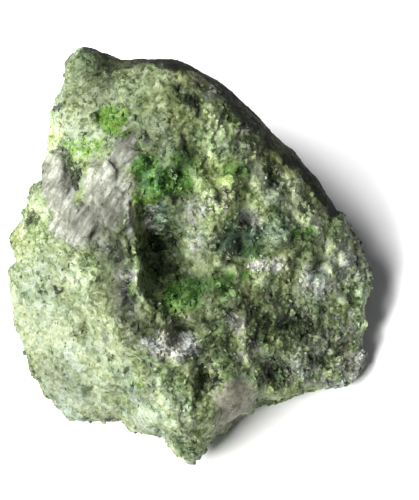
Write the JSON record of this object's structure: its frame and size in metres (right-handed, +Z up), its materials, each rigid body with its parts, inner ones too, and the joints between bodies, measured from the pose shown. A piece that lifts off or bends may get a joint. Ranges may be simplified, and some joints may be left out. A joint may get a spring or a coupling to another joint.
{
  "type": "raw mineral lump",
  "caption": "Raw broken lump of granular green diopside rock with a pale calcite patch beside a steep pocket, resting on a flat break.",
  "frame": {"origin": "centre of the underside of the bounding box, on the flat break the lump rests on", "axes": "+Z up from the resting break, +Y along the lump's longer side towards its high end, +X across it with the calcite patch on the -X side"},
  "size_m": [0.045, 0.0496, 0.0276],
  "materials": {
    "diopside_rock": "granular broken stone, glassy grains in a dull matrix"
  },
  "bodies": {
    "root": {"diopside_stone": "diopside_rock"}
  },
  "joints": []
}
